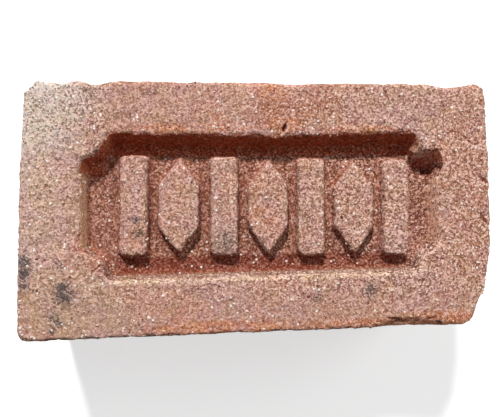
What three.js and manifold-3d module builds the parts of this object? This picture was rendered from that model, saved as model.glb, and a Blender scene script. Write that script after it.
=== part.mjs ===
// A hand-moulded clay brick, lying on its bed with the frog up. Millimetres, +Z up.
//
// The brick is one piece of fired clay. Wet clay is thrown into a wooden mould whose bottom board
// carries a raised block, and the block leaves the frog: the shallow pocket in the upper bed face
// that holds mortar. The block's own corners are notched, its sides lean so that it draws out of
// the clay, and a pattern cut into it leaves a row of raised figures, upright bars and lozenges,
// on the frog's floor.
//
// +X runs along the length, +Y across the width, and the origin is the middle of the bed face.

import * as THREE from "three";
import { mergeVertices } from "three/addons/utils/BufferGeometryUtils.js";
import Module from "manifold-3d";

// The body
const brickLength = 228;
const brickWidth = 120;
const brickHeight = 75;
const uprightCornerRound = 5; // length of the rounding, from the sharp corner along each face
const arrisRadius = 2; // the worn edges round both bed faces

// How far the ends are out of square, and how far they swell at the middle
const backLeftPullIn = 4;
const frontRightPullIn = 1;
const endBow = 1.2;

// The margins round the frog's mouth, from the brick's sides to the foot of the mouth's worn lip
const leftMargin = 29.5;
const rightMargin = 28.2;
const frontMargin = 27.8;
const backMargin = 26;
const backSag = 2.4; // how far the middle of the mouth's back side is drawn forwards, before rounding

// The frog
const frogDepth = 11;
const frogDraft = 1; // how far the front and end walls lean in from the mouth to the floor
const frogBackDraft = 2.4;
const frogLipRadius = 2.2;
const frogFloorFillet = 1.2;
const frogCornerRound = 1.6;

// Each corner of the mouth is cut off by two sides that meet at a shoulder. The shoulder stands
// this far in along and across from the mouth's end and side, and the two sides of the cut run on
// this far past it. The block is cut by hand, so its corners differ.
const cornerCuts = {
  frontRight: { along: 8.5, across: 8.6, pastAlong: 3.8, pastAcross: 5.6 },
  backRight: { along: 8.2, across: 7.6, pastAlong: 3.4, pastAcross: 5 },
  backLeft: { along: 8.5, across: 8.2, pastAlong: 4.4, pastAcross: 4.4 },
  frontLeft: { along: 8.3, across: 8.6, pastAlong: 3.6, pastAcross: 5.4 },
};

// The raised figures
const figureHeight = 6; // above the frog's floor
const figureDraft = 1;
const figureArris = 0.6;
const barCornerRound = 3;
const lozengeCornerRound = 1.6;
const barWidth = 15.4;
const figureGap = 3; // between neighbours, at the foot
const lozengeCount = 3; // with a bar before, between and after them
const lozengeSide = 21; // the lozenges are blunt: each has an upright side of this length

// The gaps between the row of figures and the edges of the frog's floor
const rowLeftGap = 13.9;
const rowRightGap = 10.5;
const rowFrontGap = 6.4;
const rowBackGap = 6.8;
const rowTurn = -1.2; // degrees that the row stands askew, about its middle

// Damage: a corner and stretches of the arrises knocked off. Each chip is a rough lump taken out
// round a place measured from a corner of the upper bed face, or from the middle of its edge (0).
const chips = [
  { from: [1, -1], offset: [2.9, -2, -3], half: [11.3, 38, 26], seed: 15 },
  { from: [1, -1], offset: [-1.7, -1, -2], half: [10.6, 20, 16], seed: 8 },
  { from: [1, -1], offset: [-10, -6, -2], half: [12, 9.5, 12], seed: 2 },
  { from: [1, -1], offset: [-38, -1, 1.5], half: [28, 6.4, 4.8], seed: 3 },
  { from: [-1, 1], offset: [2.4, 0.6, -6], half: [6.6, 9.6, 32], seed: 4 },
  { from: [-1, 1], offset: [14, 2.4, -4], half: [11, 6.8, 22], seed: 5 },
  { from: [-1, 1], offset: [37, 3.2, -1], half: [10, 5.4, 14], seed: 9 },
  { from: [0, 1], offset: [9, 3.8, 1], half: [24, 6, 7], seed: 6 },
  { from: [1, 1], offset: [-21, 3.2, 0], half: [18, 5.2, 11], seed: 7 },
];
const chipRoughness = 0.09; // of a lump's own size

// Folds of the clot, pressed flat against the mould but not closed: shallow creases in the sides
const creaseSpacing = [36, 15]; // along a side and up it, at least
const creaseHalf = [12, 1.5, 1.8]; // half its length, its depth, and half its height
const creaseStray = [5, 3]; // how far it stands off its place in the grid
const creaseTilt = 14; // degrees, at most, either way

// A pit torn in the lip of the frog's back right cut, and a clot of clay left against its shoulder
const pitOffset = [-0.4, 1, -2];
const pitHalf = [3.4, 4.4, 5];
const clotOffset = [0, 0, 4.2];
const clotHalf = [4.2, 4, 5];

// How finely round stretches are divided
const cornerSteps = 4;
const arrisSteps = 4;
const lipSteps = 3;
const lumpDetail = 2;
const creaseDetail = 1;
const overCut = 4; // how far the frog's cutting tool stands clear of the face that it cuts
const sink = 1; // how far a joined piece reaches into what it stands on

const wasm = await Module();
wasm.setup();

// ---------------------------------------------------------------- outlines and lofts

// A corner of an outline, with the length of its rounding along each side.
function corner(x, y, round) {
  return { point: new THREE.Vector2(x, y), round };
}

// The same corners with every side moved inwards by inset, or outwards where it is negative.
function insetCorners(corners, inset) {
  return corners.map(({ point, round }, i) => {
    const before = corners.at(i - 1).point;
    const after = corners[(i + 1) % corners.length].point;
    const arriving = point.clone().sub(before).normalize();
    const leaving = after.clone().sub(point).normalize();
    const inwards = new THREE.Vector2(-arriving.y - leaving.y, arriving.x + leaving.x);
    const mitre = inset / (1 + arriving.dot(leaving));
    return { point: point.clone().addScaledVector(inwards, mitre), round };
  });
}

// The points of a closed outline that runs counter-clockwise through rounded corners. A rounding
// takes up to half of the sides that it joins.
function outlinePoints(corners) {
  const shape = new THREE.Shape();
  corners.forEach(({ point, round }, i) => {
    const before = corners.at(i - 1).point;
    const after = corners[(i + 1) % corners.length].point;
    const reach = (other) => Math.min(round, other.distanceTo(point) / 2);
    const start = before.clone().sub(point).setLength(reach(before)).add(point);
    const end = after.clone().sub(point).setLength(reach(after)).add(point);
    if (i === 0) shape.moveTo(start.x, start.y);
    else shape.lineTo(start.x, start.y);
    shape.quadraticCurveTo(point.x, point.y, end.x, end.y);
  });
  return shape.getPoints(cornerSteps);
}

// The same corners with those at the back of the outline moved forwards.
function drawForwards(corners, shift) {
  const ys = corners.map(({ point }) => point.y);
  const middleY = (Math.min(...ys) + Math.max(...ys)) / 2;
  return corners.map(({ point: { x, y }, round }) => corner(x, y > middleY ? y - shift : y, round));
}

// A closed solid skinned over sections of one outline, from the lowest up. A section is the outline
// moved inwards by inset on every side, and by backInset besides at the back.
function loft(corners, sections) {
  const rings = sections.map(({ inset, backInset = 0 }) =>
    outlinePoints(drawForwards(insetCorners(corners, inset), backInset)),
  );
  const count = rings[0].length;
  const positions = rings.flatMap((ring, s) => ring.flatMap(({ x, y }) => [x, y, sections[s].z]));
  const triangles = [];
  for (let s = 0; s + 1 < rings.length; s++) {
    for (let i = 0; i < count; i++) {
      const low = s * count + i;
      const lowNext = s * count + ((i + 1) % count);
      triangles.push(low, lowNext, lowNext + count, low, lowNext + count, low + count);
    }
  }
  const lastRing = (rings.length - 1) * count;
  for (const [a, b, c] of THREE.ShapeUtils.triangulateShape(rings[0], [])) {
    triangles.push(a, c, b);
  }
  for (const [a, b, c] of THREE.ShapeUtils.triangulateShape(rings.at(-1), [])) {
    triangles.push(lastRing + a, lastRing + b, lastRing + c);
  }
  const geometry = new THREE.BufferGeometry();
  geometry.setAttribute("position", new THREE.Float32BufferAttribute(positions, 3));
  geometry.setIndex(triangles);
  return toSolid(geometry);
}

// Sections of a quarter round between an upright wall and a level face. rise runs from the wall
// up (1) or down (-1) to the face at z, and grow is 1 where the outline shrinks on the way.
function quarterRound(z, rise, radius, grow, inset, steps) {
  return Array.from({ length: steps + 1 }, (_, i) => {
    const turn = (i / steps) * (Math.PI / 2);
    return {
      z: z - rise * radius * (1 - Math.sin(turn)),
      inset: inset + grow * radius * (1 - Math.cos(turn)),
    };
  });
}

// ---------------------------------------------------------------- solids

function toSolid(geometry) {
  const bare = geometry.clone();
  bare.deleteAttribute("normal");
  bare.deleteAttribute("uv");
  const merged = mergeVertices(bare, 1e-4);
  return new wasm.Manifold(
    new wasm.Mesh({
      numProp: 3,
      vertProperties: new Float32Array(merged.attributes.position.array),
      triVerts: new Uint32Array(merged.index.array),
    }),
  );
}

function toGeometry(solid) {
  const mesh = solid.getMesh();
  const geometry = new THREE.BufferGeometry();
  geometry.setAttribute("position", new THREE.BufferAttribute(mesh.vertProperties, 3));
  geometry.setIndex(new THREE.BufferAttribute(mesh.triVerts, 1));
  const faceted = geometry.toNonIndexed();
  faceted.computeVertexNormals();
  return faceted;
}

// ---------------------------------------------------------------- the body

// Plan of the moulded block: flat stretchers at front and back, and ends that swell a little
// over their whole width and stand slightly out of square.
function bodyCorners() {
  const right = brickLength / 2;
  const back = brickWidth / 2;
  return [
    corner(right - endBow - frontRightPullIn, -back, uprightCornerRound),
    corner(right, 0, back),
    corner(right - endBow, back, uprightCornerRound),
    corner(-right + backLeftPullIn, back, uprightCornerRound),
    corner(-right + backLeftPullIn / 2 - endBow, 0, back),
    corner(-right, -back, uprightCornerRound),
  ];
}

function makeBody() {
  const lowArris = quarterRound(0, -1, arrisRadius, 1, 0, arrisSteps).reverse();
  const highArris = quarterRound(brickHeight, 1, arrisRadius, 1, 0, arrisSteps);
  return loft(bodyCorners(), [...lowArris, ...highArris]);
}

// ---------------------------------------------------------------- the frog

const floorZ = brickHeight - frogDepth;

// The sides of the frog's mouth.
const mouth = {
  left: -brickLength / 2 + leftMargin,
  right: brickLength / 2 - rightMargin,
  front: -brickWidth / 2 + frontMargin,
  back: brickWidth / 2 - backMargin,
};

// The places of one corner's cut. signX and signY say which corner it is.
function cutPlaces(signX, signY, { along, across, pastAlong, pastAcross }) {
  const endX = signX > 0 ? mouth.right : mouth.left;
  const sideY = signY > 0 ? mouth.back : mouth.front;
  const shoulderX = endX - signX * along;
  const shoulderY = sideY - signY * across;
  const cutEndY = shoulderY - signY * pastAcross;
  const cutEndX = shoulderX - signX * pastAlong;
  return { endX, sideY, shoulderX, shoulderY, cutEndX, cutEndY };
}

// One corner of the mouth, as points that run counter-clockwise.
function mouthCorner(signX, signY, cut) {
  const at = cutPlaces(signX, signY, cut);
  const points = [
    corner(at.endX, at.cutEndY, frogCornerRound),
    corner(at.shoulderX, at.shoulderY, frogCornerRound),
    corner(at.cutEndX, at.sideY, frogCornerRound),
  ];
  return signX * signY > 0 ? points : points.reverse();
}

function makeFrogCutter() {
  const mouthLength = mouth.right - mouth.left;
  const corners = [
    ...mouthCorner(1, -1, cornerCuts.frontRight),
    ...mouthCorner(1, 1, cornerCuts.backRight),
    corner(mouth.left + mouthLength / 2, mouth.back - backSag, mouthLength),
    ...mouthCorner(-1, 1, cornerCuts.backLeft),
    ...mouthCorner(-1, -1, cornerCuts.frontLeft),
  ];
  const backInset = frogBackDraft - frogDraft;
  const fillet = quarterRound(floorZ, -1, frogFloorFillet, 1, frogDraft, lipSteps)
    .map((section) => ({ ...section, backInset }))
    .reverse();
  const lip = quarterRound(brickHeight, 1, frogLipRadius, -1, 0, lipSteps);
  const clear = { ...lip.at(-1), z: brickHeight + overCut };
  return loft(corners, [...fillet, ...lip, clear]);
}

// ---------------------------------------------------------------- the raised figures

// The rectangle that the row of figures fills, measured from the frog's floor.
const row = {
  left: mouth.left + frogDraft + rowLeftGap,
  right: mouth.right - frogDraft - rowRightGap,
  front: mouth.front + frogDraft + rowFrontGap,
  back: mouth.back - frogBackDraft - rowBackGap,
};

// The corners of a figure, turned with the row.
function askew(corners) {
  const middle = new THREE.Vector2(row.left + row.right, row.front + row.back).divideScalar(2);
  const turn = THREE.MathUtils.degToRad(rowTurn);
  return corners.map(({ point, round }) => ({ point: point.clone().rotateAround(middle, turn), round }));
}

function barCorners(left) {
  const right = left + barWidth;
  return [
    corner(right, row.front, barCornerRound),
    corner(right, row.back, barCornerRound),
    corner(left, row.back, barCornerRound),
    corner(left, row.front, barCornerRound),
  ];
}

function lozengeCorners(left, width) {
  const middleX = left + width / 2;
  const middleY = (row.front + row.back) / 2;
  const low = middleY - lozengeSide / 2;
  const high = middleY + lozengeSide / 2;
  return [
    corner(left + width, low, lozengeCornerRound),
    corner(left + width, high, lozengeCornerRound),
    corner(middleX, row.back, lozengeCornerRound),
    corner(left, high, lozengeCornerRound),
    corner(left, low, lozengeCornerRound),
    corner(middleX, row.front, lozengeCornerRound),
  ];
}

// Bars and lozenges by turns. The lozenges share the length that the bars and gaps leave.
function makeFigures() {
  const barPitch = (row.right - row.left - barWidth) / lozengeCount;
  const lozengeWidth = barPitch - barWidth - 2 * figureGap;
  const sections = [
    { z: floorZ - sink, inset: 0 },
    { z: floorZ, inset: 0 },
    ...quarterRound(floorZ + figureHeight, 1, figureArris, 1, figureDraft, lipSteps),
  ];
  const figures = [];
  for (let i = 0; i <= lozengeCount; i++) {
    const barLeft = row.left + i * barPitch;
    figures.push(loft(askew(barCorners(barLeft)), sections));
    if (i === lozengeCount) break;
    const lozengeLeft = barLeft + barWidth + figureGap;
    figures.push(loft(askew(lozengeCorners(lozengeLeft, lozengeWidth)), sections));
  }
  return figures;
}

// ---------------------------------------------------------------- damage

// A rough lump: a ball of facets whose points stand in and out by a share of its size, then
// stretched to its half sizes and turned, first in its own XZ plane and then in plan. The seed
// turns the roughness over.
function roughLump([x, y, z], half, seed, { detail = lumpDetail, tilt = 0, turn = 0 } = {}) {
  const ball = new THREE.IcosahedronGeometry(1, detail);
  const points = ball.attributes.position;
  const point = new THREE.Vector3();
  for (let i = 0; i < points.count; i++) {
    point.fromBufferAttribute(points, i);
    const { x: u, y: v, z: w } = point;
    const wave = Math.sin(4 * u + seed) + Math.sin(5 * v + 2 * seed) * Math.cos(4 * w + seed);
    point.multiplyScalar(1 + chipRoughness * wave);
    points.setXYZ(i, point.x, point.y, point.z);
  }
  ball.scale(...half);
  ball.rotateY(tilt);
  ball.rotateZ(turn);
  ball.translate(x, y, z);
  return toSolid(ball);
}

function makeChip({ from, offset, half, seed }) {
  const place = [
    (from[0] * brickLength) / 2 + offset[0],
    (from[1] * brickWidth) / 2 + offset[1],
    brickHeight + offset[2],
  ];
  return roughLump(place, half, seed);
}

// A number from -1 to 1 that looks picked by chance but is the same every time.
function chance(seed) {
  return (Math.sin(seed * 78.233) * 43758.5453) % 1;
}

// Creases in one side, which runs from start to end in plan.
function makeCreases(start, end, seed) {
  const side = end.clone().sub(start);
  const columns = Math.floor(side.length() / creaseSpacing[0]);
  const rows = Math.floor(brickHeight / creaseSpacing[1]) - 1;
  const creases = [];
  for (let i = 0; i < columns * rows; i++) {
    const pick = (order) => chance(seed + i + order / 10);
    const share = ((i % columns) + 0.5) / columns + (creaseStray[0] * pick(1)) / side.length();
    const { x, y } = start.clone().addScaledVector(side, share);
    const rise = (brickHeight * (Math.floor(i / columns) + 1)) / (rows + 1) + creaseStray[1] * pick(2);
    const tilt = THREE.MathUtils.degToRad(creaseTilt * pick(3));
    const lie = { detail: creaseDetail, tilt, turn: side.angle() };
    creases.push(roughLump([x, y, rise], creaseHalf, seed + i, lie));
  }
  return creases;
}

// Creases in all the sides. An end has two straight stretches.
function makeAllCreases() {
  const places = bodyCorners().map(({ point }) => point);
  return places.flatMap((place, i) => makeCreases(place, places[(i + 1) % places.length], 40 * i));
}

const tornCorner = cutPlaces(1, 1, cornerCuts.backRight);

function makePit() {
  const [alongOff, acrossOff, upOff] = pitOffset;
  const { endX, cutEndY } = tornCorner;
  return roughLump([endX + alongOff, cutEndY + acrossOff, brickHeight + upOff], pitHalf, 1);
}

function makeClot() {
  const [alongOff, acrossOff, upOff] = clotOffset;
  const { shoulderX, shoulderY } = tornCorner;
  return roughLump([shoulderX + alongOff, shoulderY + acrossOff, floorZ + upOff], clotHalf, 2);
}

// ---------------------------------------------------------------- the brick

let clay = makeBody().subtract(makeFrogCutter());
for (const raised of [...makeFigures(), makeClot()]) clay = clay.add(raised);
for (const lost of [...chips.map(makeChip), makePit(), ...makeAllCreases()]) {
  clay = clay.subtract(lost);
}

const firedClay = new THREE.MeshStandardMaterial({ color: 0xb98c7a, roughness: 0.95, metalness: 0 });
const brick = new THREE.Mesh(toGeometry(clay), firedClay);
brick.name = "brick";

const model = new THREE.Group();
model.add(brick);

export default model;
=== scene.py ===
import math

import bpy
import numpy as np
from mathutils import Matrix, Vector


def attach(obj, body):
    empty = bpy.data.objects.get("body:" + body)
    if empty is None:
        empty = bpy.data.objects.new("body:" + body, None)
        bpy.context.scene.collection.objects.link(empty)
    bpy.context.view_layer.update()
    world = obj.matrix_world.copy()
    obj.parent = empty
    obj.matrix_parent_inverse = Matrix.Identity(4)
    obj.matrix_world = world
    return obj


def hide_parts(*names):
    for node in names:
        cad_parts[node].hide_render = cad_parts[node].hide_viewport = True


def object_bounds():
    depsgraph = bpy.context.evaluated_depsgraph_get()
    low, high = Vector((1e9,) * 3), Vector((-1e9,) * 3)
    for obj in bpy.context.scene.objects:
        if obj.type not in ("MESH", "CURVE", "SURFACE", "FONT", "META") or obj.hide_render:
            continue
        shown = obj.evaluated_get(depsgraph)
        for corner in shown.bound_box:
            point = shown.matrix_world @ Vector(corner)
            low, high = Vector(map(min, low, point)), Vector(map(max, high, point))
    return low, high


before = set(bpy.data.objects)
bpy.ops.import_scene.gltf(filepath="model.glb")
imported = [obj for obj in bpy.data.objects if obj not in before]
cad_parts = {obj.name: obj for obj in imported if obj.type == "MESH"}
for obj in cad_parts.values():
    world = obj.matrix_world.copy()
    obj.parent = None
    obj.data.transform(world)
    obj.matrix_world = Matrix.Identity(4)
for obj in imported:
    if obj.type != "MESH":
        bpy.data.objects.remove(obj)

cad_low, cad_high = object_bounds()

# ---------------------------------------------------------------- the brick's clay body
# The whole brick is one lump of sandy clay, thrown into a mould, struck off flat and fired. Its skin
# is never true: the faces swell and dip, sand stands in it, the arrises crumble and the frog's lip
# wavers. The moulded form is taken from the solid and weathered down to the size of its grains.

MM = 0.001

clay_cell = 0.7 * MM        # how finely the skin is divided
clay_faces = 196_000        # triangles in the finished skin
frog_reach = Vector((87.1 * MM, 34.7 * MM))   # half the size of the frog's mouth
frog_middle = Vector((0.6 * MM, 0.5 * MM))
left_lean = 4 * MM          # how far the left end leans in at the back
torn_corner = Vector((82.4 * MM, 20.4 * MM, 69 * MM))   # where the frog's corner is torn
clot_place = Vector((77.8 * MM, 26.5 * MM, 69 * MM))   # the clot of clay left beside it
clot_top = Vector((74.2 * MM, 27 * MM, 72 * MM))

# Cracks, seen from above: from here to there, half as wide as this, and this deep, in millimetres.
cracks = [
    ((11.4, 40.2), (10.4, 38.3), 0.5, 1.0),
    ((10.4, 38.3), (9.9, 36.2), 0.9, 2.2),
    ((80.9, -24.8), (84.0, -26.4), 0.4, 0.4),
    ((84.0, -26.4), (88.5, -27.5), 0.5, 0.5),
    ((58.9, -54.9), (66.5, -56.2), 0.6, 0.7),
    ((62.5, -57.0), (68.5, -57.8), 0.5, 0.5),
    ((79.0, -55.6), (82.5, -54.8), 0.6, 0.6),
    ((83.5, -57.2), (86.5, -58.0), 0.5, 0.5),
    ((90.0, 34.2), (93.6, 35.7), 0.6, 0.5),
    ((93.6, 35.7), (97.2, 34.9), 0.4, 0.4),
    ((86.2, 19.6), (84.2, 16.8), 2.6, 3.0),
    ((99.8, 33.2), (102.8, 30.2), 0.8, 0.5),
    ((108.2, 13.0), (111.0, 10.5), 1.1, 0.6),
    ((107.8, -5.5), (109.8, -9.0), 1.2, 0.6),
    ((-103.4, -28.9), (-91.3, -29.3), 0.8, 0.12),
    ((-80.3, -28.7), (-76.7, -26.3), 0.5, 0.5),
    ((-76.7, -26.3), (-71.8, -25.1), 0.4, 0.4),
]


def add(tree, kind, inputs=(), **settings):
    """Adds a node. inputs gives sockets by name or number: a plain value, or another node's output."""
    made = tree.nodes.new(kind)
    for name, value in settings.items():
        setattr(made, name, value)
    for key, value in dict(inputs).items():
        if isinstance(value, bpy.types.NodeSocket):
            tree.links.new(value, made.inputs[key])
        else:
            made.inputs[key].default_value = value
    return made


def reckon(tree, operation, *values):
    """One step of arithmetic on numbers."""
    return add(tree, "ShaderNodeMath", dict(enumerate(values)), operation=operation).outputs[0]


def product(tree, *shares):
    """All of these numbers multiplied together."""
    made = shares[0]
    for share in shares[1:]:
        made = reckon(tree, "MULTIPLY", made, share)
    return made


def steer(tree, operation, *values):
    """One step of arithmetic on vectors."""
    return add(tree, "ShaderNodeVectorMath", dict(enumerate(values)), operation=operation)


def scaled(tree, vector, by):
    """A vector made this many times as long."""
    return add(tree, "ShaderNodeVectorMath", {0: vector, "Scale": by}, operation="SCALE").outputs[0]


def held_in_box(tree, place):
    """A place, moved back into the solid's box if it lies outside."""
    below_top = steer(tree, "MINIMUM", place, cad_high).outputs[0]
    return steer(tree, "MAXIMUM", below_top, cad_low).outputs[0]


def ramp(tree, value, low, high, start=0.0, end=1.0):
    """Goes smoothly from start to end as value goes from low to high."""
    inputs = {"Value": value, "From Min": low, "From Max": high, "To Min": start, "To Max": end}
    made = add(tree, "ShaderNodeMapRange", inputs, interpolation_type="SMOOTHSTEP")
    return made.outputs["Result"]


def mottle(tree, place, size, detail=2.0, roughness=0.5, stretch=(1, 1, 1), shift=0.0, result="Fac"):
    """Noise from about 0.2 to 0.8 whose lumps are this size, stretched along the axes."""
    scale = [1 / (size * s) for s in stretch]
    moved = steer(tree, "MULTIPLY_ADD", place, scale, (shift,) * 3).outputs[0]
    inputs = {"Vector": moved, "Scale": 1.0, "Detail": detail, "Roughness": roughness}
    return add(tree, "ShaderNodeTexNoise", inputs).outputs[result]


def outside(tree, share, within=0.0):
    """1 outside a part of the brick and this within it. share is 1 within the part and 0 outside."""
    return ramp(tree, share, 0, 1, 1, within)


def ruffled(tree, value, noise, by):
    """A number with noise laid on it, which moves it by up to half of this either way."""
    return reckon(tree, "MULTIPLY_ADD", reckon(tree, "SUBTRACT", noise, 0.5), by, value)


def apart(tree, vector):
    """The X, Y and Z of a vector."""
    return add(tree, "ShaderNodeSeparateXYZ", {0: vector}).outputs


def inside_frog(tree, place, margin, fade):
    """1 within the frog's mouth grown by margin, and 0 from fade outside it."""
    x, y, _ = apart(tree, place)
    shares = []
    for value, middle, reach in zip((x, y), frog_middle, frog_reach):
        off = reckon(tree, "ABSOLUTE", reckon(tree, "SUBTRACT", value, middle))
        shares.append(ramp(tree, off, reach + margin, reach + margin + fade, 1.0, 0.0))
    return product(tree, *shares)


def depth_in_block(tree, place):
    """How deep a point lies under the nearest face of the block that the mould would have given."""
    x, y, z = apart(tree, place)
    across = reckon(tree, "SUBTRACT", y, cad_low.y)
    lean = product(tree, across, left_lean / (cad_high.y - cad_low.y))
    left = reckon(tree, "SUBTRACT", reckon(tree, "SUBTRACT", x, cad_low.x), lean)
    depths = [
        left,
        reckon(tree, "SUBTRACT", cad_high.x, x),
        across,
        reckon(tree, "SUBTRACT", cad_high.y, y),
        z,
        reckon(tree, "SUBTRACT", cad_high.z, z),
    ]
    least = depths[0]
    for depth in depths[1:]:
        least = reckon(tree, "MINIMUM", least, depth)
    return least


def crack_depth(tree, place):
    """How deep the cracks are at each point of the upper face. A crack wanders a little sideways."""
    wander = mottle(tree, place, 1.6 * MM, 2, 0.6, shift=21.0, result="Color")
    wander = steer(tree, "MULTIPLY_ADD", wander, (2.4 * MM,) * 3, (-1.2 * MM,) * 3).outputs[0]
    plan = steer(tree, "MULTIPLY", steer(tree, "ADD", place, wander).outputs[0], (1, 1, 0)).outputs[0]
    deepest = 0.0
    for start, end, half_width, depth in cracks:
        start, end = (Vector((*point, 0)) * MM for point in (start, end))
        run = end - start
        off = steer(tree, "SUBTRACT", plan, start).outputs[0]
        share = steer(tree, "DOT_PRODUCT", off, run / run.length_squared).outputs["Value"]
        share = add(tree, "ShaderNodeClamp", {0: share}).outputs[0]
        along = scaled(tree, run, share)
        away = steer(tree, "DISTANCE", off, along).outputs["Value"]
        here = ramp(tree, away, 0.3 * half_width * MM, half_width * MM, depth * MM, 0.0)
        deepest = reckon(tree, "MAXIMUM", deepest, here)

    # The cracks don't go through to the bed.
    height = apart(tree, place)[2]
    return product(tree, deepest, ramp(tree, height, 45 * MM, 55 * MM))


free_fold = 0.82   # how deep a fold is where the mould left no crease, as a share of "Creases"

# How much the weather does, in millimetres.
wear = {
    "Waver": 1.1,       # sideways, at the frog's lip and the raised figures
    "Stray": 26.0,      # sideways, at the creases in the sides
    "Back stub": 2.5,   # how far the knocked back left corner stands out again
    "Front stub": 3.0,  # and the knocked front right arris
    "Swell": 0.3,       # broad hollows in the faces
    "Lumps": 0.4,       # clods pressed together
    "Grain": 0.4,       # sand
    "Pits": 1.0,        # holes where a clod or a grain came out
    "Crumble": 1.1,     # lost from the arrises and the lip
    "Creases": 1.1,     # folds in the sides, deepest along the moulded creases
    "Break": 1.0,       # roughness of the broken places
}


def open_tree(name, sizes):
    """A node tree from geometry to geometry, with a named input for each size."""
    tree = bpy.data.node_groups.new(name, "GeometryNodeTree")
    tree.interface.new_socket("Geometry", in_out="INPUT", socket_type="NodeSocketGeometry")
    for size in sizes:
        tree.interface.new_socket(size, in_out="INPUT", socket_type="NodeSocketFloat")
    tree.interface.new_socket("Geometry", in_out="OUTPUT", socket_type="NodeSocketGeometry")
    return tree, add(tree, "NodeGroupInput").outputs


def weathering():
    """Wavers the frog's lip and the creases in the sides, lets two knocked places stand out again, and
    swells, crumbles, folds, pits and cracks the skin inwards."""
    tree, size = open_tree("weathering", wear)
    place = add(tree, "GeometryNodeInputPosition").outputs[0]
    normal = add(tree, "GeometryNodeInputNormal").outputs[0]

    def blurred(iterations):
        return add(tree, "GeometryNodeBlurAttribute", {"Value": place, "Iterations": iterations},
                   data_type="FLOAT_VECTOR").outputs["Value"]

    def standing_out(iterations):
        """How far a point stands out from the surface round it."""
        away = steer(tree, "SUBTRACT", place, blurred(iterations)).outputs[0]
        return steer(tree, "DOT_PRODUCT", away, normal).outputs["Value"]

    def keep(geometry, name, value):
        return add(tree, "GeometryNodeStoreNamedAttribute",
                   {"Geometry": geometry, "Name": name, "Value": value},
                   data_type="FLOAT", domain="POINT").outputs["Geometry"]

    depth = depth_in_block(tree, place)
    x, y, z = apart(tree, place)
    up = apart(tree, normal)[2]
    under_face = reckon(tree, "SUBTRACT", cad_high.z, z)
    near_frog = inside_frog(tree, place, 3 * MM, 5 * MM)
    upright = ramp(tree, reckon(tree, "ABSOLUTE", up), 0.3, 0.6, 1, 0)
    on_side = product(tree, upright, outside(tree, near_frog))

    # Where the front arris has broken away, its edges have since worn round, and here and there a
    # crease in a side was pressed shut.
    front_arris = ramp(tree, y, -48 * MM, -53 * MM)
    worn_round = product(tree, front_arris, ramp(tree, x, 44 * MM, 58 * MM))
    pressed = ramp(tree, mottle(tree, place, 17 * MM, 2, 0.6, shift=41.0), 0.46, 0.56)
    worn_round = reckon(tree, "MAXIMUM", worn_round, product(tree, pressed, on_side))
    from_pit = steer(tree, "DISTANCE", place, torn_corner).outputs["Value"]
    worn_round = reckon(tree, "MAXIMUM", worn_round, ramp(tree, from_pit, 8 * MM, 11 * MM, 0.5, 0))
    sharp_and_round = {"Factor": worn_round, 4: blurred(4), 5: blurred(26)}
    eased = add(tree, "ShaderNodeMix", sharp_and_round, data_type="VECTOR").outputs[1]
    smooth = {"Geometry": size["Geometry"], "Position": eased}
    smooth = add(tree, "GeometryNodeSetPosition", smooth).outputs[0]

    on_floor = product(tree, near_frog, ramp(tree, under_face, 3.4 * MM, 4.6 * MM))
    edge = ramp(tree, standing_out(14), 0.08 * MM, 0.5 * MM)

    torn = ramp(tree, from_pit, 7.5 * MM, 8.5 * MM, 1, 0)
    knocked = outside(tree, inside_frog(tree, place, 1 * MM, 1 * MM))
    ragged = mottle(tree, place, 4 * MM, 3, 0.6, shift=61.0)
    ragged = ruffled(tree, depth, ragged, 6 * MM)
    knocked = product(tree, knocked, ramp(tree, ragged, 1.0 * MM, 3.0 * MM))
    broken = reckon(tree, "MAXIMUM", torn, knocked)

    swell = ramp(tree, mottle(tree, place, 42 * MM, 1), 0.35, 0.7)
    lumps = ramp(tree, mottle(tree, place, 6.5 * MM, 3, 0.6), 0.35, 0.72)
    grain = mottle(tree, place, 1.5 * MM, 2, 0.7)
    pits = ramp(tree, mottle(tree, place, 3.0 * MM, 2, 0.5, shift=7.0), 0.66, 0.76)
    crumbs = ramp(tree, mottle(tree, place, 3.6 * MM, 3, 0.6, shift=3.0), 0.38, 0.68)
    crumble = product(tree, edge, crumbs, outside(tree, on_floor, 0.45))
    folds = mottle(tree, place, 12 * MM, 3, 0.55, stretch=(2.6, 2.6, 0.8), shift=5.0)
    from_fold = reckon(tree, "ABSOLUTE", reckon(tree, "SUBTRACT", folds, 0.5))
    crease = ramp(tree, from_fold, 0, 0.022, free_fold, 0)
    moulded = product(tree, ramp(tree, standing_out(24), -0.12 * MM, -0.5 * MM), outside(tree, pressed))
    crease = product(tree, reckon(tree, "MAXIMUM", crease, moulded), on_side)
    rough = mottle(tree, place, 5 * MM, 4, 0.65, shift=11.0)

    lost = product(tree, swell, size["Swell"])
    for share, name in (
        (lumps, "Lumps"),
        (grain, "Grain"),
        (pits, "Pits"),
        (crumble, "Crumble"),
        (crease, "Creases"),
        (product(tree, rough, broken), "Break"),
    ):
        lost = reckon(tree, "MULTIPLY_ADD", share, size[name], lost)
    lost = reckon(tree, "ADD", lost, crack_depth(tree, place))

    # The frog's lip and the figures waver sideways, and the block's own outline doesn't.
    drift = mottle(tree, place, 12 * MM, 3, 0.6, stretch=(1, 1, 4), result="Color")
    drift = steer(tree, "SUBTRACT", drift, (0.5, 0.5, 0.5)).outputs[0]
    drift = steer(tree, "MULTIPLY", drift, (3, 3, 0)).outputs[0]
    free = product(tree, near_frog, outside(tree, on_floor, 0.4))
    drift = scaled(tree, drift, product(tree, free, size["Waver"]))

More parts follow.
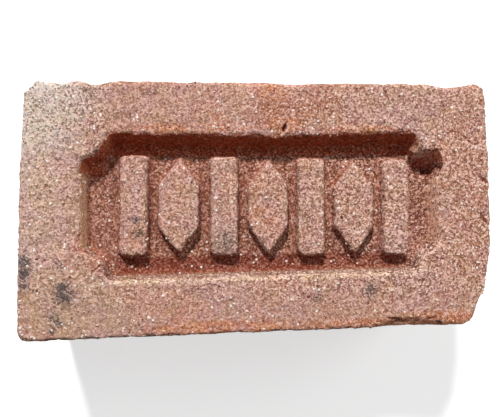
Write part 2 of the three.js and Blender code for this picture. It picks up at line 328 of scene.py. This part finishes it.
    # The creases in the sides wander too, each within its own side.
    over_bed = ramp(tree, z, 3 * MM, 14 * MM)
    clear_of_beds = product(tree, over_bed, ramp(tree, under_face, 3 * MM, 14 * MM))
    clear_of_ends = ramp(tree, reckon(tree, "ABSOLUTE", x), 98 * MM, 110 * MM, 1, 0)
    clear_of_sides = ramp(tree, reckon(tree, "ABSOLUTE", y), 46 * MM, 57 * MM, 1, 0)
    clear = product(tree, clear_of_beds, reckon(tree, "MAXIMUM", clear_of_ends, clear_of_sides))
    stray = mottle(tree, place, 24 * MM, 2, 0.5, shift=51.0, result="Color")
    stray = steer(tree, "SUBTRACT", stray, (0.5, 0.5, 0.5)).outputs[0]
    outwards = scaled(tree, normal, steer(tree, "DOT_PRODUCT", stray, normal).outputs["Value"])
    stray = steer(tree, "SUBTRACT", stray, outwards).outputs[0]
    stray = scaled(tree, stray, product(tree, clear, on_side, size["Stray"]))
    drift = steer(tree, "ADD", drift, stray).outputs[0]

    # The back left corner and the front right arris were knocked off, and a stub of each is left.
    back_stub = product(
        tree,
        ramp(tree, x, -98 * MM, -87 * MM, 1, 0),
        ramp(tree, y, 36 * MM, 54 * MM),
        ramp(tree, under_face, 8 * MM, 26 * MM, 1, 0),
        size["Back stub"],
    )
    back_stub = reckon(tree, "MINIMUM", back_stub, reckon(tree, "SUBTRACT", cad_high.y, y))
    front_stub = product(
        tree,
        ramp(tree, x, 60 * MM, 96 * MM),
        ramp(tree, x, 102 * MM, 107 * MM, 1, 0),
        ramp(tree, y, -44 * MM, -53 * MM),
        ramp(tree, under_face, 0.5 * MM, 5 * MM, 0.5, 1),
        ramp(tree, under_face, 10 * MM, 28 * MM, 1, 0),
        size["Front stub"],
    )
    front_stub = reckon(tree, "MINIMUM", front_stub, reckon(tree, "SUBTRACT", y, cad_low.y))
    stubs = reckon(tree, "SUBTRACT", back_stub, front_stub)
    stubs = add(tree, "ShaderNodeCombineXYZ", {"Y": stubs}).outputs[0]
    drift = steer(tree, "ADD", drift, stubs).outputs[0]
    inwards = scaled(tree, normal, product(tree, lost, -1.0))
    moved = steer(tree, "ADD", place, steer(tree, "ADD", drift, inwards).outputs[0]).outputs[0]
    moved = held_in_box(tree, moved)

    marked = smooth
    for name, value in (("edge", edge), ("broken", broken), ("pits", pits), ("crease", crease)):
        marked = keep(marked, name, value)
    worn = add(tree, "GeometryNodeSetPosition", {"Geometry": marked, "Position": moved}).outputs[0]
    worn = keep(worn, "relief", reckon(tree, "DIVIDE", standing_out(3), 0.1 * MM))
    whole = add(tree, "GeometryNodeRealizeInstances", {"Geometry": worn}).outputs[0]
    dressed = add(tree, "GeometryNodeSetMaterial", {"Geometry": whole, "Material": fired_clay()})
    add(tree, "NodeGroupOutput", {"Geometry": dressed.outputs[0]})
    return tree


def give_sizes(modifier, sizes):
    """Sets the modifier's named inputs, given in millimetres."""
    for item in modifier.node_group.interface.items_tree:
        if item.in_out == "INPUT" and item.name in sizes:
            modifier[item.identifier] = sizes[item.name] * MM


def as_plain_mesh(piece):
    """The piece with its modifiers worked out, as a mesh of its own."""
    view = bpy.context.evaluated_depsgraph_get()
    return bpy.data.meshes.new_from_object(piece.evaluated_get(view), depsgraph=view)


def screen_colour(red, green, blue):
    """A colour as it looks on screen, 0 to 255, in the numbers that a shader takes."""
    shares = [c / 255 for c in (red, green, blue)]
    return [c / 12.92 if c <= 0.04045 else ((c + 0.055) / 1.055) ** 2.4 for c in shares] + [1.0]


def blend(tree, share, under, over, way="MIX"):
    """Lays one colour over another. A colour is a list or another node's output."""
    made = add(tree, "ShaderNodeMix", {"Factor": share}, data_type="RGBA", blend_type=way)
    for socket, value in ((made.inputs[6], under), (made.inputs[7], over)):
        if isinstance(value, bpy.types.NodeSocket):
            tree.links.new(value, socket)
        else:
            socket.default_value = value
    return made.outputs[2]


pink_clay = screen_colour(190, 144, 127)
mauve_clay = screen_colour(186, 146, 135)
orange_clay = screen_colour(202, 130, 94)
russet_clay = screen_colour(174, 116, 94)
ember_clay = screen_colour(204, 134, 98)
orange_with_painted_light = screen_colour(255, 156, 104)
pink_light = screen_colour(208, 162, 144)
pale_wash = screen_colour(214, 203, 194)
painted_highlight_white = screen_colour(248, 242, 234)
drab_clay = screen_colour(188, 162, 142)
painted_shade_red = screen_colour(184, 74, 22)
purple_with_painted_light = screen_colour(206, 98, 76)
recess_clay = screen_colour(144, 93, 80)
shaded_clay = screen_colour(138, 84, 68)
wall_clay = screen_colour(232, 178, 150)
painted_light_wall = screen_colour(255, 206, 168)
lit_wall = screen_colour(250, 190, 164)
painted_shade_wall = screen_colour(120, 68, 48)
settled_dust = screen_colour(204, 180, 156)
quartz = screen_colour(238, 222, 212)
bright_quartz = screen_colour(255, 246, 238)
cinder = screen_colour(92, 50, 38)
dark_grain = screen_colour(152, 134, 123)
pale_grain = screen_colour(255, 219, 203)
ochre_grain = screen_colour(196, 186, 146)
mauve_grain = screen_colour(196, 176, 186)
cut_clay_and_shade = screen_colour(116, 44, 22)
hollow_shade_clay = screen_colour(148, 86, 60)
front_floor_shadow = screen_colour(114, 38, 16)
clot_clay = screen_colour(166, 120, 100)
crack_clay = screen_colour(98, 38, 22)
soot = screen_colour(62, 58, 62)

# Where soot has stained the upper face: the place, how far the stain reaches, and how thick it is.
soot_marks = [
    ((-110.5, -23.5), 4.0, 1.3),
    ((-109.8, -28.6), 4.4, 1.2),
    ((-110.4, -34.2), 3.4, 1.0),
    ((-93.1, -35.6), 3.2, 1.5),
    ((-92.6, -38.6), 6.6, 1.1),
    ((-97.0, -49.0), 4.2, 0.8),
    ((-95.3, -51.0), 2.6, 1.2),
    ((-97.8, -54.6), 2.2, 1.2),
    ((-94.6, -25.0), 3.4, 0.9),
    ((-60.6, -5.4), 2.2, 1.4),
    ((-59.6, -12.0), 3.4, 0.9),
    ((-18.8, -16.6), 7.5, 0.85),
    ((49.9, -41.0), 5.2, 0.95),
    ((24.5, -44.1), 3.6, 0.9),
]
soot_fade = 1.5   # a mark ends at this many times its reach

# Where the skin has rubbed off and the clay shows orange: the middle, and the reach each way.
ochre_marks = [
    ((9.7, 38.6), (13, 4.5)),
    ((-31.7, 37.2), (34, 2.4)),
    ((50.2, 36.6), (22, 2.0)),
    ((-22.1, -56.2), (44, 4.0)),
    ((44.6, -56.8), (34, 2.6)),
    ((3.4, 54.1), (12, 5)),
    ((87.6, 24.2), (4.8, 5.4)),
    ((88, -56), (24, 3.4)),
]

# Broad tinges of the upper face: the middle, the reach each way, the colour and how strong it is.
tinges = [
    ((72, 48), (30, 16), mauve_clay, 0.8),
    ((80, -44), (26, 14), mauve_clay, 0.7),
    ((-64, 50), (22, 16), mauve_clay, 0.8),
    ((12, 45), (30, 9), russet_clay, 0.9),
    ((29, 52), (12, 8), russet_clay, 0.9),
    ((-4, 55), (32, 5), pink_light, 0.8),
    ((104, 10), (14, 60), russet_clay, 0.35),
    ((30, -57), (60, 5), russet_clay, 0.4),
    # The chipped front arris: its orange, with painted light where its faces lie in shade.
    ((66, -56), (13, 4), wall_clay, 0.9),
    ((84, -56.5), (30, 5.5), ember_clay, 0.95),
    ((-112, 54), (33, 44), pale_wash, 1.0),
    ((-96, 52), (26, 18), pale_wash, 0.5),
    # Painted highlight: the back left corner is whitened.
    ((-104, 60), (20, 7), painted_highlight_white, 0.8),
    ((-90, -46), (36, 19), drab_clay, 0.65),
    ((-83, -17), (9, 7), russet_clay, 0.9),
    ((-76, -25), (8, 6), russet_clay, 0.7),
]


def share_of(tree, place, middle, reach):
    """How far a point lies from a patch's middle, seen from above, as a share of the patch's reach."""
    off = steer(tree, "SUBTRACT", place, (middle[0] * MM, middle[1] * MM, 0)).outputs[0]
    shares = steer(tree, "MULTIPLY", off, (1 / (reach[0] * MM), 1 / (reach[1] * MM), 0)).outputs[0]
    return steer(tree, "LENGTH", shares).outputs["Value"]


def fired_clay():
    """Sandy fired clay: clouded pinks, a pale wash on the left, red where it broke, and painted shade and
    light in the frog.
    """
    material = bpy.data.materials.new("fired_clay")
    material.use_nodes = True
    tree = material.node_tree
    tree.nodes.clear()
    coordinates = add(tree, "ShaderNodeTexCoord").outputs
    place, normal = coordinates["Object"], coordinates["Normal"]
    x, y, z = apart(tree, place)
    up = apart(tree, normal)[2]

    def kept(name):
        return add(tree, "ShaderNodeAttribute", attribute_name=name).outputs["Fac"]

    cloud = mottle(tree, place, 38 * MM, 4, 0.6)
    patch = mottle(tree, place, 16 * MM, 4, 0.6, shift=2.0)
    fleck = mottle(tree, place, 4 * MM, 3, 0.6, shift=4.0)
    clay = blend(tree, ramp(tree, cloud, 0.38, 0.62), pink_clay, mauve_clay)
    clay = blend(tree, ramp(tree, patch, 0.52, 0.74, 0, 0.5), clay, orange_clay)
    upper = ramp(tree, z, cad_high.z - 30 * MM, cad_high.z - 4 * MM, 0.25, 1.0)
    leftness = ruffled(tree, x, cloud, 60 * MM)
    washed = product(
        tree,
        ramp(tree, leftness, -118 * MM, -72 * MM, 0.4, 0),
        ramp(tree, y, -45 * MM, -20 * MM),
        ramp(tree, fleck, 0.3, 0.6, 0.7, 1.0),
        upper,
    )
    clay = blend(tree, washed, clay, pale_wash)
    for middle, reach, tint, strength in tinges:
        away = share_of(tree, place, middle, reach)
        away = ruffled(tree, away, patch, 0.8)
        near = product(tree, ramp(tree, away, 0.3, 1.1, strength, 0), upper)
        clay = blend(tree, near, clay, tint)

    # The frog is redder, with painted shade under its back lip, in the notch beside it and round the
    # figures, and painted light and shade on its walls. Pale dust lies along its front wall.
    in_frog = inside_frog(tree, place, 1 * MM, 1.5 * MM)
    depth = reckon(tree, "SUBTRACT", cad_high.z, z)
    low = ruffled(tree, depth, fleck, 3 * MM)
    sunk = product(tree, ramp(tree, low, 7.0 * MM, 9.5 * MM), in_frog)
    # Painted shadow: the floor between the figures, along the front wall and just before the figures is
    # darkened and reddened where their shadows fall.
    between = ramp(tree, reckon(tree, "ABSOLUTE", x), 68 * MM, 72 * MM, 1, 0)
    recess = blend(tree, between, recess_clay, shaded_clay)
    recess = blend(tree, ramp(tree, y, -24 * MM, -28 * MM, 0, 0.7), recess, painted_shade_wall)
    before = product(tree, between, ramp(tree, y, -22.5 * MM, -24.5 * MM))
    recess = blend(tree, product(tree, before, 0.9), recess, front_floor_shadow)
    clay = blend(tree, product(tree, sunk, 0.95), clay, recess)
    below_lip = product(tree, in_frog, ramp(tree, depth, 0.2 * MM, 2.0 * MM))
    by_wall = reckon(tree, "SUBTRACT", 1.0, inside_frog(tree, place, -9 * MM, 3 * MM))
    steep = product(tree, ramp(tree, up, 0.35, 0.8, 1, 0), below_lip)
    walls = product(tree, steep, by_wall)
    # Painted light and shade on the walls: the end walls are painted lighter, the left one most, and the
    # front and back walls a shaded red.
    facing = ramp(tree, reckon(tree, "ABSOLUTE", apart(tree, normal)[0]), 0.4, 0.7)
    facing = product(tree, facing, ramp(tree, y, -20 * MM, -15 * MM))
    end_wall = blend(tree, ramp(tree, x, -1 * MM, 1 * MM), painted_light_wall, lit_wall)
    clay = blend(tree, product(tree, walls, 0.95), clay, blend(tree, facing, painted_shade_wall, end_wall))
    # Painted shade: red at the foot of the figures' fronts, near the front wall.
    figure_foot_shade = product(
        tree,
        steep,
        ramp(tree, depth, 7.5 * MM, 10.5 * MM),
        ramp(tree, y, -29 * MM, -26 * MM),
        ramp(tree, x, 60 * MM, 75 * MM, 0.5, 0.0),
    )
    clay = blend(tree, figure_foot_shade, clay, painted_shade_red)
    # Painted shade: the figures' sides that face the front are darkened.
    figure_front_shade = product(
        tree,
        steep,
        ramp(tree, by_wall, 0, 1, 0.8, 0),
        ramp(tree, apart(tree, normal)[1], 0.2, -0.4),
    )
    clay = blend(tree, figure_front_shade, clay, cut_clay_and_shade)
    from_middle = reckon(tree, "ABSOLUTE", x)
    front = product(
        tree,
        ramp(tree, y, -35.6 * MM, -34.2 * MM),
        ramp(tree, y, -32.0 * MM, -31.0 * MM, 1, 0),
        ramp(tree, from_middle, 70 * MM, 80 * MM, 1, 0),
        ramp(tree, fleck, 0.3, 0.6, 0.4, 0.8),
        ramp(tree, up, 0.2, 0.85, 0.35, 1.0),
    )
    clay = blend(tree, front, clay, settled_dust)
    # Painted shade: raw red under the back lip and in the notch beside it, where the lamp's shadow falls,
    # with fewer pale grains there.
    notch = product(
        tree,
        ramp(tree, x, -72 * MM, -77 * MM),
        ramp(tree, y, 14 * MM, 18 * MM),
        ramp(tree, depth, 1.2 * MM, 2.2 * MM),
    )
    back = product(
        tree,
        ramp(tree, y, 24.2 * MM, 26.2 * MM),
        ramp(tree, depth, 0.4 * MM, 1.4 * MM),
        ramp(tree, from_middle, 75 * MM, 78 * MM, 1, 0),
    )
    painted_shade_in_frog = product(tree, in_frog, reckon(tree, "MAXIMUM", back, notch))
    clay = blend(tree, product(tree, painted_shade_in_frog, ramp(tree, fleck, 0.3, 0.6, 0.95, 0.75)), clay, painted_shade_red)

    # The clot is greyer, and the upper face is orange where its skin has rubbed off.
    by_clot = steer(tree, "DISTANCE", place, clot_top).outputs["Value"]
    clay = blend(tree, ramp(tree, by_clot, 2.5 * MM, 5 * MM, 0.9, 0), clay, clot_clay)
    rubbed = 0.0
    for middle, reach in ochre_marks:
        away = share_of(tree, place, middle, reach)
        rubbed = reckon(tree, "MAXIMUM", rubbed, ramp(tree, away, 0.5, 1.1, 1, 0))
    on_face = ramp(tree, depth, 2.5 * MM, 4 * MM, 1, 0)
    rubbed = product(tree, rubbed, product(tree, on_face, ramp(tree, fleck, 0.34, 0.58)))
    clay = blend(tree, product(tree, rubbed, 0.85), clay, orange_clay)

    # Where it broke, the clay is redder inside; painted light lightens the front arris's steep faces, the
    # pit's rim and its purple. Folds in the sides are darker, and worn arrises orange.
    broken = product(tree, kept("broken"), ramp(tree, fleck, 0.25, 0.5, 0.5, 0.9))
    from_clot = steer(tree, "DISTANCE", place, clot_place).outputs["Value"]
    pit_clay = blend(tree, ramp(tree, y, 16 * MM, 22 * MM), cut_clay_and_shade, purple_with_painted_light)
    pit_rim_painted_light = product(tree, ramp(tree, y, 21.5 * MM, 24 * MM), ramp(tree, x, 81 * MM, 84 * MM))
    pit_clay = blend(tree, pit_rim_painted_light, pit_clay, orange_with_painted_light)
    torn = blend(tree, ramp(tree, from_clot, 4 * MM, 5 * MM), wall_clay, pit_clay)
    shallow = ruffled(tree, depth, patch, 14 * MM)
    arris_painted_light = product(
        tree,
        ramp(tree, y, -53 * MM, -55 * MM),
        ramp(tree, x, 50 * MM, 60 * MM),
        ramp(tree, up, 0.9, 0.5),
        ramp(tree, shallow, 12 * MM, 4 * MM),
    )
    clay = blend(tree, product(tree, arris_painted_light, 0.9), clay, orange_with_painted_light)
    broken = product(
        tree,
        broken,
        ramp(tree, in_frog, 0, 1, 0.5, 1),
        ramp(tree, x, -92 * MM, -82 * MM, 0.2, 1),
        outside(tree, arris_painted_light),
    )
    clay = blend(tree, broken, clay, blend(tree, in_frog, orange_clay, torn))
    clay = blend(tree, product(tree, kept("crease"), 0.5), clay, cut_clay_and_shade)
    worn = product(
        tree,
        kept("edge"),
        ramp(tree, patch, 0.35, 0.6, 0, 0.3),
        outside(tree, in_frog),
        ramp(tree, x, -108 * MM, -95 * MM, 0.2, 1.0),
    )
    clay = blend(tree, worn, clay, orange_clay)

    # Sand: every grain has a shade of its own, and the sand is coarser towards the right. Clots of it
    # lean to ochre or to mauve.
    clot = mottle(tree, place, 9 * MM, 3, 0.65, shift=17.0)
    leaning = blend(tree, ramp(tree, clot, 0.36, 0.64), ochre_grain, mauve_grain)
    clay = blend(tree, 0.55, clay, leaning, way="SOFT_LIGHT")
    at_back = ramp(tree, x, -85 * MM, -60 * MM, 1.3, 0.88)
    coarseness = product(
        tree,
        ramp(tree, x, -70 * MM, 90 * MM, 0.8, 1.12),
        ramp(tree, y, -50 * MM, -38 * MM, 0.7, 1.0),
        ramp(tree, y, 26 * MM, 40 * MM, 1.0, at_back),
        ramp(tree, sunk, 0, 1, 1.0, 1.08),
    )
    shaken = mottle(tree, place, 0.8 * MM, 2, 0.6, shift=9.0, result="Color")
    shaken = steer(tree, "MULTIPLY_ADD", shaken, (0.9 * MM,) * 3, place).outputs[0]
    grains = add(tree, "ShaderNodeTexVoronoi", {"Vector": shaken, "Scale": 1 / (0.75 * MM)})
    shade = apart(tree, grains.outputs["Color"])[0]
    dust = mottle(tree, place, 0.5 * MM, 2, 0.75, shift=13.0)
    speckle = ruffled(tree, shade, dust, 1.8)
    dark = product(tree, ramp(tree, speckle, 0.55, -0.1), coarseness)
    clay = blend(tree, dark, clay, blend(tree, 1.0, clay, dark_grain, way="MULTIPLY"))
    pale = product(
        tree,
        ramp(tree, speckle, 0.45, 1.15, 0, 0.85),
        coarseness,
        outside(tree, painted_shade_in_frog, ramp(tree, up, 0.4, 0.9, 0.25, 0.7)),
        outside(tree, product(tree, before, sunk), 0.42),
    )
    clay = blend(tree, pale, clay, blend(tree, product(tree, sunk, 0.6), pale_grain, wall_clay))
    coarse = add(tree, "ShaderNodeTexVoronoi", {"Vector": shaken, "Scale": 1 / (1.5 * MM)})
    pick = apart(tree, coarse.outputs["Color"])[0]
    near = ramp(tree, coarse.outputs["Distance"], 0.15, 0.42, 1, 0)
    void = product(tree, near, ramp(tree, pick, 0.78, 0.86, 0, 0.85))
    clay = blend(tree, void, clay, cinder)
    glint = product(
        tree,
        ramp(tree, coarse.outputs["Distance"], 0.2, 0.5, 1, 0),
        ramp(tree, pick, 0.03, 0.05, 1.0, 0),
        outside(tree, painted_shade_in_frog, 0.3),
    )
    clay = blend(tree, glint, clay, bright_quartz)
    # Painted shade: the hollows of the relief and the pits are darkened.
    hollow_shade = ramp(tree, kept("relief"), -1.2, 0.2, 0.45, 0)
    hollow_shade = product(tree, hollow_shade, outside(tree, in_frog, 0.4))
    hollow_shade = reckon(tree, "MAXIMUM", hollow_shade, product(tree, kept("pits"), 0.6))
    clay = blend(tree, product(tree, hollow_shade, outside(tree, front, 0.1)), clay, hollow_shade_clay)
    crack = product(tree, ramp(tree, crack_depth(tree, place), 0, 0.4 * MM, 0, 0.85), on_face)
    crack = product(tree, crack, ramp(tree, dust, 0.35, 0.55, 0.35, 1.0))
    clay = blend(tree, crack, clay, crack_clay)

    # Soot lies thickest in the middle of a mark, and catches on some grains and not on others.
    smoke = 0.0
    for (mark_x, mark_y), reach, thickness in soot_marks:
        off = steer(tree, "SUBTRACT", place, (mark_x * MM, mark_y * MM, 0)).outputs[0]
        away = steer(tree, "LENGTH", steer(tree, "MULTIPLY", off, (1, 1, 0)).outputs[0]).outputs["Value"]
        smoke = reckon(tree, "MAXIMUM", smoke, ramp(tree, away, 0, soot_fade * reach * MM, thickness, 0))
    smoke = product(tree, smoke, ramp(tree, depth, 6 * MM, 9 * MM, 1, 0))
    caught = reckon(tree, "MULTIPLY_ADD", shade, -0.7, reckon(tree, "MULTIPLY_ADD", dust, -1.2, smoke))
    clay = blend(tree, product(tree, smoke, 0.3), clay, soot)
    clay = blend(tree, ramp(tree, caught, -0.6, 0.35, 0, 0.8), clay, soot)

    relief = reckon(tree, "MULTIPLY_ADD", shade, 0.5, dust)
    bump = add(tree, "ShaderNodeBump", {"Strength": 1.0, "Distance": 0.3 * MM, "Height": relief})
    surface = add(tree, "ShaderNodeBsdfPrincipled", {
        "Base Color": clay,
        "Roughness": 0.95,
        "Specular IOR Level": 0.2,
        "Normal": bump.outputs[0],
    })
    add(tree, "ShaderNodeOutputMaterial", {"Surface": surface.outputs[0]})
    return material


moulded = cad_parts["brick"].data.copy()
brick = bpy.data.objects.new("brick_clay", moulded)
bpy.context.scene.collection.objects.link(brick)
weld = brick.modifiers.new("weld", "WELD")
weld.merge_threshold = 0.001 * MM
skin = brick.modifiers.new("skin", "REMESH")
skin.mode = "VOXEL"
skin.voxel_size = clay_cell
skin.use_smooth_shade = True
weather = brick.modifiers.new("weathering", "NODES")
weather.node_group = weathering()
give_sizes(weather, wear)
skinned = as_plain_mesh(brick)
brick.modifiers.clear()
brick.data = skinned


def points_of(mesh):
    """The places of a mesh's points, one row each."""
    flat = np.zeros(len(mesh.vertices) * 3, np.float32)
    mesh.vertices.foreach_get("co", flat)
    return flat.reshape(-1, 3)


# The sides and the bed need fewer faces than the frogged face, so only they are thinned.
fine_under_face = 2.5 * MM
fine_in_frog = 13 * MM
places = points_of(skinned)
off_frog = (np.abs(places[:, :2] - np.array(frog_middle)) > np.array(frog_reach)).any(axis=1)
under_face = cad_high.z - places[:, 2]
plainly = (under_face > fine_under_face) & (off_frog | (under_face > fine_in_frog))
plain = brick.vertex_groups.new(name="plain")
plain.add(np.flatnonzero(plainly).tolist(), 1.0, "REPLACE")
skin_triangles = sum(len(face.vertices) - 2 for face in skinned.polygons)
thin = brick.modifiers.new("thin", "DECIMATE")
thin.ratio = clay_faces / skin_triangles
thin.vertex_group = "plain"
thinned = as_plain_mesh(brick)
brick.modifiers.clear()
brick.vertex_groups.clear()
held = np.clip(points_of(thinned), np.array(cad_low), np.array(cad_high))
thinned.vertices.foreach_set("co", held.ravel())
thinned.update()
brick.data = thinned

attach(brick, "root")
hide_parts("brick")

# ---------------------------------------------------------------- sand in the clay's skin
# Sharp sand is thrown into the mould so that the clay lets go of it. The coarser grains stay in the
# skin, sunk to half their size: clear and milky quartz, some stained pink, and a few black cinders.

grit = {
    "Smallest": 0.22,   # half a grain's size
    "Largest": 1.0,
    "Sunk": 0.12,       # how far a grain's middle lies under the skin
}
grains_per_square_mm = 0.075
stained_quartz = screen_colour(190, 140, 122)
milky_quartz = screen_colour(232, 210, 196)


def quartz_sand():
    """Grains of sand, each with a shade of its own."""
    material = bpy.data.materials.new("quartz_sand")
    material.use_nodes = True
    tree = material.node_tree
    tree.nodes.clear()
    shade = add(tree, "ShaderNodeAttribute", attribute_name="shade").outputs["Fac"]
    place = add(tree, "ShaderNodeTexCoord").outputs["Object"]
    colour = blend(tree, ramp(tree, shade, 0.0, 0.7), stained_quartz, milky_quartz)
    colour = blend(tree, ramp(tree, shade, 0.7, 0.95), colour, quartz)
    colour = blend(tree, ramp(tree, shade, 0.10, 0.14, 1, 0), colour, cinder)
    _, y, z = apart(tree, place)
    under_face = reckon(tree, "SUBTRACT", cad_high.z, z)
    # Painted shade: grains under the frog's back lip take the recess colour, and grains on its floor take
    # half of it.
    back = product(tree, ramp(tree, y, 25 * MM, 27 * MM), ramp(tree, under_face, 1 * MM, 2 * MM))
    painted_shade_and_stain = reckon(tree, "MAXIMUM", back, ramp(tree, under_face, 7 * MM, 9 * MM, 0, 0.5))
    painted_shade_and_stain = product(tree, painted_shade_and_stain, inside_frog(tree, place, 0, 1 * MM))
    colour = blend(tree, product(tree, painted_shade_and_stain, 0.85), colour, recess_clay)
    speck = mottle(tree, place, 0.4 * MM, 2, 0.6)
    colour = blend(tree, 0.6, colour, ramp(tree, speck, 0.3, 0.7, 0.6, 1.2), way="MULTIPLY")
    surface = add(tree, "ShaderNodeBsdfPrincipled", {
        "Base Color": colour,
        "Roughness": 0.5,
        "Specular IOR Level": 0.4,
    })
    add(tree, "ShaderNodeOutputMaterial", {"Surface": surface.outputs[0]})
    return material


def sanding():
    """Scatters grains over the skin, thicker in some places than others."""
    tree, size = open_tree("sanding", grit)
    place = add(tree, "GeometryNodeInputPosition").outputs[0]
    thickness = ramp(tree, mottle(tree, place, 22 * MM, 3, 0.6, shift=31.0), 0.35, 0.65, 0.3, 1.6)
    density = product(tree, thickness, grains_per_square_mm / MM ** 2)
    scattered = add(tree, "GeometryNodeDistributePointsOnFaces",
                    {"Mesh": size["Geometry"], "Density": density, "Seed": 5}).outputs
    sunk = scaled(tree, scattered["Normal"], product(tree, size["Sunk"], -1.0))
    set_in = add(tree, "GeometryNodeSetPosition", {"Geometry": scattered["Points"], "Offset": sunk})
    grain = add(tree, "GeometryNodeMeshIcoSphere", {"Radius": 1.0, "Subdivisions": 1}).outputs["Mesh"]
    turn = add(tree, "FunctionNodeRandomValue",
               {0: (0, 0, 0), 1: (math.tau,) * 3, "Seed": 6}, data_type="FLOAT_VECTOR").outputs[0]
    chance = add(tree, "FunctionNodeRandomValue", {"Seed": 7}, data_type="FLOAT").outputs[1]
    chance = reckon(tree, "POWER", chance, 4.0)
    spread = reckon(tree, "SUBTRACT", size["Largest"], size["Smallest"])
    reach = reckon(tree, "MULTIPLY_ADD", chance, spread, size["Smallest"])
    form = add(tree, "FunctionNodeRandomValue",
               {0: (0.6,) * 3, 1: (1.1,) * 3, "Seed": 8}, data_type="FLOAT_VECTOR").outputs[0]
    form = scaled(tree, form, reach)
    grains = add(tree, "GeometryNodeInstanceOnPoints",
                 {"Points": set_in.outputs[0], "Instance": grain, "Rotation": turn, "Scale": form})
    shade = add(tree, "FunctionNodeRandomValue", {"Seed": 9}, data_type="FLOAT").outputs[1]
    shaded = add(tree, "GeometryNodeStoreNamedAttribute",
                 {"Geometry": grains.outputs[0], "Name": "shade", "Value": shade},
                 data_type="FLOAT", domain="INSTANCE")
    made = add(tree, "GeometryNodeRealizeInstances", {"Geometry": shaded.outputs[0]}).outputs[0]
    made = add(tree, "GeometryNodeSetPosition", {"Geometry": made, "Position": held_in_box(tree, place)})
    made = {"Geometry": made.outputs[0], "Material": quartz_sand()}
    dressed = add(tree, "GeometryNodeSetMaterial", made)
    add(tree, "NodeGroupOutput", {"Geometry": dressed.outputs[0]})
    return tree


sand = bpy.data.objects.new("sand_grains", brick.data.copy())
bpy.context.scene.collection.objects.link(sand)
scatter = sand.modifiers.new("sanding", "NODES")
scatter.node_group = sanding()
give_sizes(scatter, grit)
sand.data = as_plain_mesh(sand)
sand.modifiers.clear()

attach(sand, "root")

# ---------------------------------------------------------------- floor, light and camera
# A plain pale floor under the brick, a lamp behind it and a little to the left, a weak broad one from
# the right, and an even white sky. The camera looks down on the frogged face.


def seen(tree, unseen, shown):
    """The strength where the camera, or a ray off gloss or through glass, looks at it: shown. For all
    other light: unseen."""
    rays = add(tree, "ShaderNodeLightPath").outputs
    looked_at = reckon(tree, "MAXIMUM", rays["Is Camera Ray"], rays["Is Glossy Ray"])
    looked_at = reckon(tree, "MAXIMUM", looked_at, rays["Is Transmission Ray"])
    return ramp(tree, looked_at, 0, 1, unseen, shown)


floor_half = 1.5
floor_grey = 0.65
floor_glow = 0.62     # what the floor adds to its own white where it is looked at
sky_light = 0.13      # the sky's light on the brick
floor_mesh = bpy.data.meshes.new("floor")
floor_mesh.from_pydata(
    [(-floor_half, -floor_half, 0), (floor_half, -floor_half, 0),
     (floor_half, floor_half, 0), (-floor_half, floor_half, 0)], [], [(0, 1, 2, 3)])
floor = bpy.data.objects.new("floor", floor_mesh)
bpy.context.scene.collection.objects.link(floor)
floor_material = bpy.data.materials.new("floor_paper")
floor_material.use_nodes = True
paper = floor_material.node_tree.nodes["Principled BSDF"].inputs
paper["Base Color"].default_value = (floor_grey, floor_grey, floor_grey, 1)
paper["Roughness"].default_value = 0.9
paper["Emission Color"].default_value = (1, 1, 1, 1)
glow = seen(floor_material.node_tree, 0.0, floor_glow)
floor_material.node_tree.links.new(glow, paper["Emission Strength"])
floor_mesh.materials.append(floor_material)

world = bpy.data.worlds.new("sky")
world.use_nodes = True
sky = world.node_tree.nodes["Background"].inputs
sky["Color"].default_value = (1, 1, 1, 1)
world.node_tree.links.new(seen(world.node_tree, sky_light, 1.0), sky["Strength"])
bpy.context.scene.world = world


def hang_lamp(name, turn, height_angle, size, energy):
    """A round lamp aimed at the brick. turn is to the left of straight behind, in degrees."""
    turn, height_angle = math.radians(turn), math.radians(height_angle)
    data = bpy.data.lights.new(name, "AREA")
    data.shape = "DISK"
    data.size = size
    data.energy = energy
    lamp = bpy.data.objects.new(name, data)
    level = math.cos(height_angle)
    towards = Vector((-math.sin(turn) * level, math.cos(turn) * level, math.sin(height_angle)))
    lamp.location = Vector((0, 0, cad_high.z)) + towards * lamp_distance
    lamp.rotation_euler = towards.to_track_quat("Z", "Y").to_euler()
    bpy.context.scene.collection.objects.link(lamp)


lamp_distance = 4.5
hang_lamp("key_lamp", 14, 42, 0.5, 246)
hang_lamp("side_lamp", -60, 35, 2.2, 54)

camera_data = bpy.data.cameras.new("camera")
camera_data.sensor_width = 36
camera_data.lens = 36
camera_data.clip_start = 10 * MM
camera = bpy.data.objects.new("camera", camera_data)
camera_place = Vector((-0.0315, -0.0081, 0.3088))
looking = Vector((0.1031, 0.0302, -0.9942)).normalized()
camera_up = Vector((0.0156, 0.9994, 0.032))
right = looking.cross(camera_up).normalized()
camera_up = right.cross(looking)
turned = Matrix((right, camera_up, -looking)).transposed().to_4x4()
camera.matrix_world = Matrix.Translation(camera_place) @ turned
bpy.context.scene.collection.objects.link(camera)
bpy.context.scene.camera = camera
bpy.context.scene.view_settings.view_transform = "Standard"
